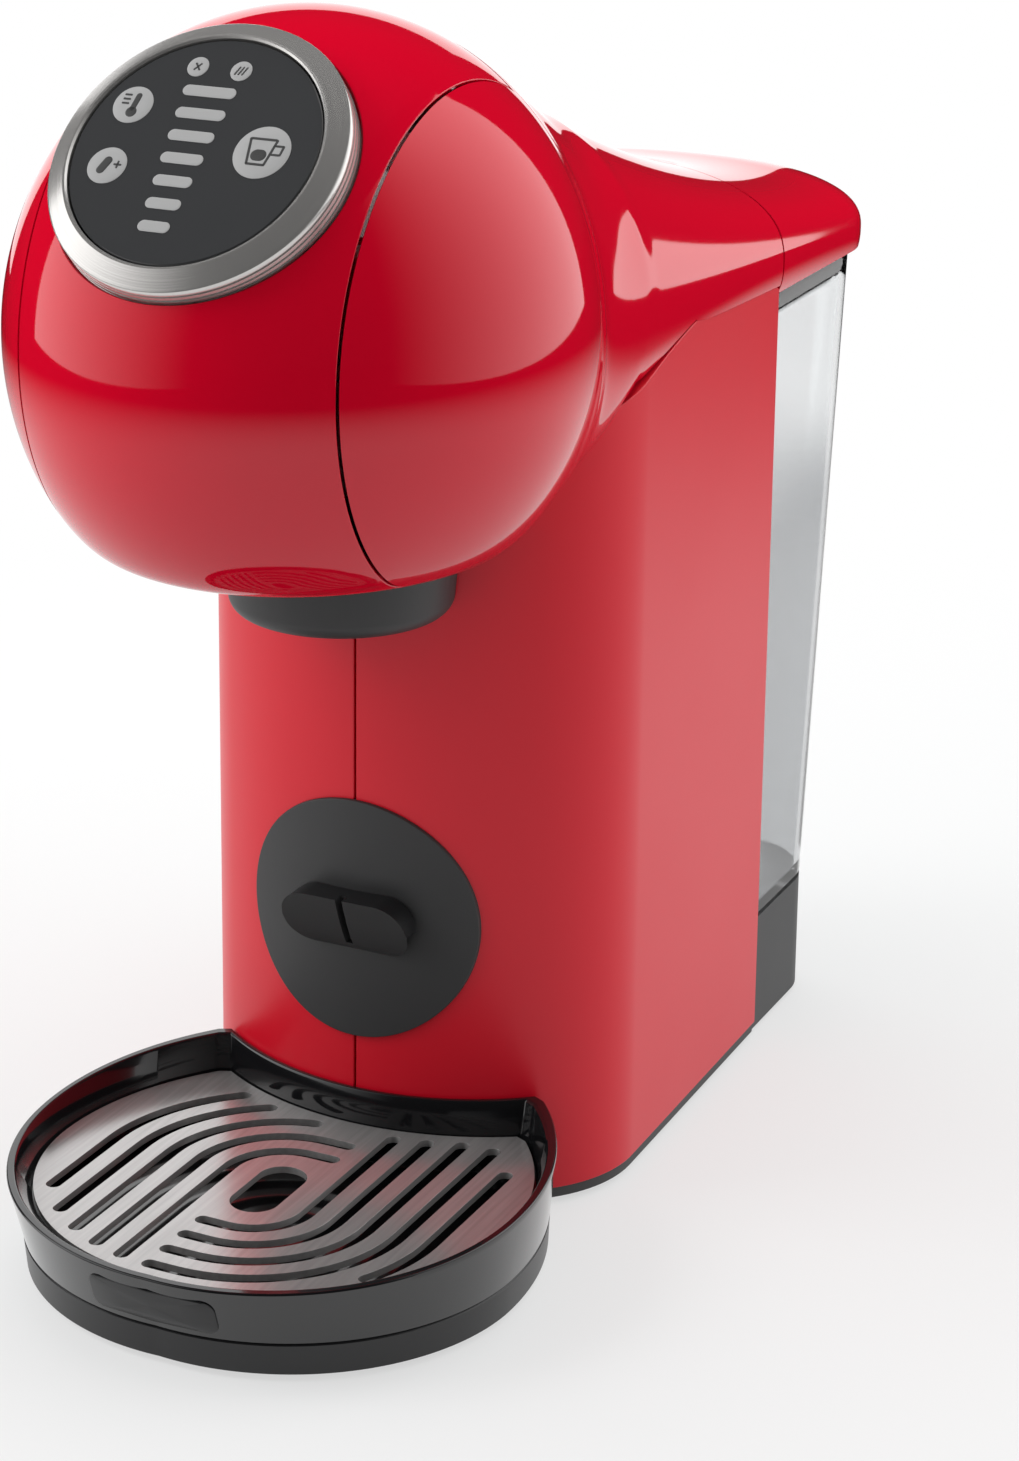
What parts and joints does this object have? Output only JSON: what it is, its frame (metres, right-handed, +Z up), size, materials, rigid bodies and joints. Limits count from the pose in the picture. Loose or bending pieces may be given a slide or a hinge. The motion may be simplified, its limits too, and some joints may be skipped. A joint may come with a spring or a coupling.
{
  "type": "pod coffee machine",
  "caption": "Compact pod coffee machine with a ball-shaped head, lifting visor with a round dial, rear water tank and a pull-out drip tray with a slotted grille.",
  "frame": {"origin": "middle of the bounding box on the surface the machine stands on", "axes": "+Z up, front faces -Y, X across the machine"},
  "size_m": [0.1216, 0.284, 0.2734],
  "materials": {
    "matt_red": "fine satin moulding",
    "gloss_red": "high gloss",
    "dark_plastic": "fine texture",
    "smoky_plastic": "gloss black",
    "clear_plastic": "clear",
    "dial_glass": "polished panel",
    "bright_ring": "spun satin",
    "grille_metal": "satin",
    "rubber": "matt",
    "steel": "plain",
    "cast_metal": "cast",
    "inner_plastic": "plain",
    "board": "coated board"
  },
  "bodies": {
    "machine": {"base_plate": "dark_plastic", "body_feet": "rubber", "body_shell_left": "matt_red", "body_shell_right": "matt_red", "brew_head": "cast_metal", "capsule_holder": "dark_plastic", "case_screws": "steel", "circuit_board": "board", "cord_gland": "dark_plastic", "dock_feet": "rubber", "hanger_hook": "dark_plastic", "head_cheek_left": "gloss_red", "head_cheek_right": "gloss_red", "head_cover": "gloss_red", "head_underside": "dark_plastic", "hinge_pin": "steel", "inlet_hose": "rubber", "inner_chassis": "inner_plastic", "outlet_hose": "rubber", "piercing_needle": "steel", "pressure_hose": "rubber", "tank_dock": "dark_plastic", "tray_hanger": "dark_plastic", "water_heater": "cast_metal", "water_pump": "inner_plastic"},
    "visor": {"visor": "gloss_red", "dial_hub": "dark_plastic", "dial_glass": "dial_glass"},
    "dial": {"dial_ring": "bright_ring"},
    "tank": {"water_tank": "clear_plastic", "tank_valve": "inner_plastic"},
    "lid": {"tank_lid": "gloss_red"},
    "tray": {"drip_tray_base": "dark_plastic", "drip_tray_bowl": "smoky_plastic", "tray_feet": "rubber"},
    "grille": {"drip_grille": "grille_metal"}
  },
  "joints": [
    {"name": "visor_lift", "type": "hinge", "parent": "machine", "child": "visor", "pos_m": [0, -0.05794, 0.24928], "axis": [-1, 0, 0], "range_deg": [0, 40]},
    {"name": "dial_turn", "type": "hinge", "parent": "visor", "child": "dial", "pos_m": [0, -0.11181, 0.24821], "axis": [0, -0.7071, 0.7071], "continuous": true},
    {"name": "tank_lift", "type": "slide", "parent": "machine", "child": "tank", "axis": [0, 0, 1], "range_m": [0, 0.08]},
    {"name": "lid_lift", "type": "slide", "parent": "tank", "child": "lid", "axis": [0, 0, 1], "range_m": [0, 0.04]},
    {"name": "tray_pull", "type": "slide", "parent": "machine", "child": "tray", "axis": [0, -1, 0], "range_m": [0, 0.08]},
    {"name": "grille_lift", "type": "slide", "parent": "tray", "child": "grille", "axis": [0, 0, 1], "range_m": [0, 0.03]}
  ]
}
